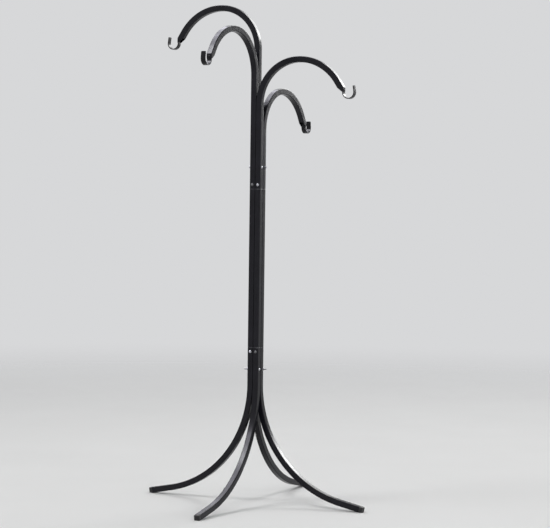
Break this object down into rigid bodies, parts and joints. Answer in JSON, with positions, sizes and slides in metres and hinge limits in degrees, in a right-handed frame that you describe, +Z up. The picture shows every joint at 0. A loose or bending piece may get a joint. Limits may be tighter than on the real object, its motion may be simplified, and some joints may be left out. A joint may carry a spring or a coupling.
{
  "type": "hanging plant stand",
  "caption": "Tall free-standing stand of bundled square tubes with splayed curved legs and arched arms that end in round hooks for hanging plants.",
  "frame": {"origin": "on the ground, at the column's axis, which is the centre of the four feet", "axes": "+Z up along the column; the highest arm and one leg point to -X, the next arm to -Y, the third to +X and the lowest to +Y"},
  "size_m": [1.0096, 1.0096, 2.1],
  "materials": {
    "tube_paint": "black gloss powder coat",
    "hook_paint": "black satin paint",
    "foot_plastic": "black moulded plastic",
    "zinc": "bright zinc plated"
  },
  "bodies": {
    "root": {"arm_left": "tube_paint", "arm_front": "tube_paint", "arm_right": "tube_paint", "arm_back": "tube_paint", "hook_left": "hook_paint", "hook_front": "hook_paint", "hook_right": "hook_paint", "hook_back": "hook_paint", "hook_rivets": "hook_paint", "middle_tube_back_left": "tube_paint", "middle_tube_front_left": "tube_paint", "middle_tube_front_right": "tube_paint", "middle_tube_back_right": "tube_paint", "leg_left": "tube_paint", "leg_front": "tube_paint", "leg_back": "tube_paint", "leg_right": "tube_paint", "foot_plug_left": "foot_plastic", "foot_plug_front": "foot_plastic", "foot_plug_back": "foot_plastic", "foot_plug_right": "foot_plastic", "upper_bolts": "zinc", "lower_bolts": "zinc", "upper_washers": "zinc", "lower_washers": "zinc", "upper_nuts": "zinc", "lower_nuts": "zinc"}
  },
  "joints": []
}
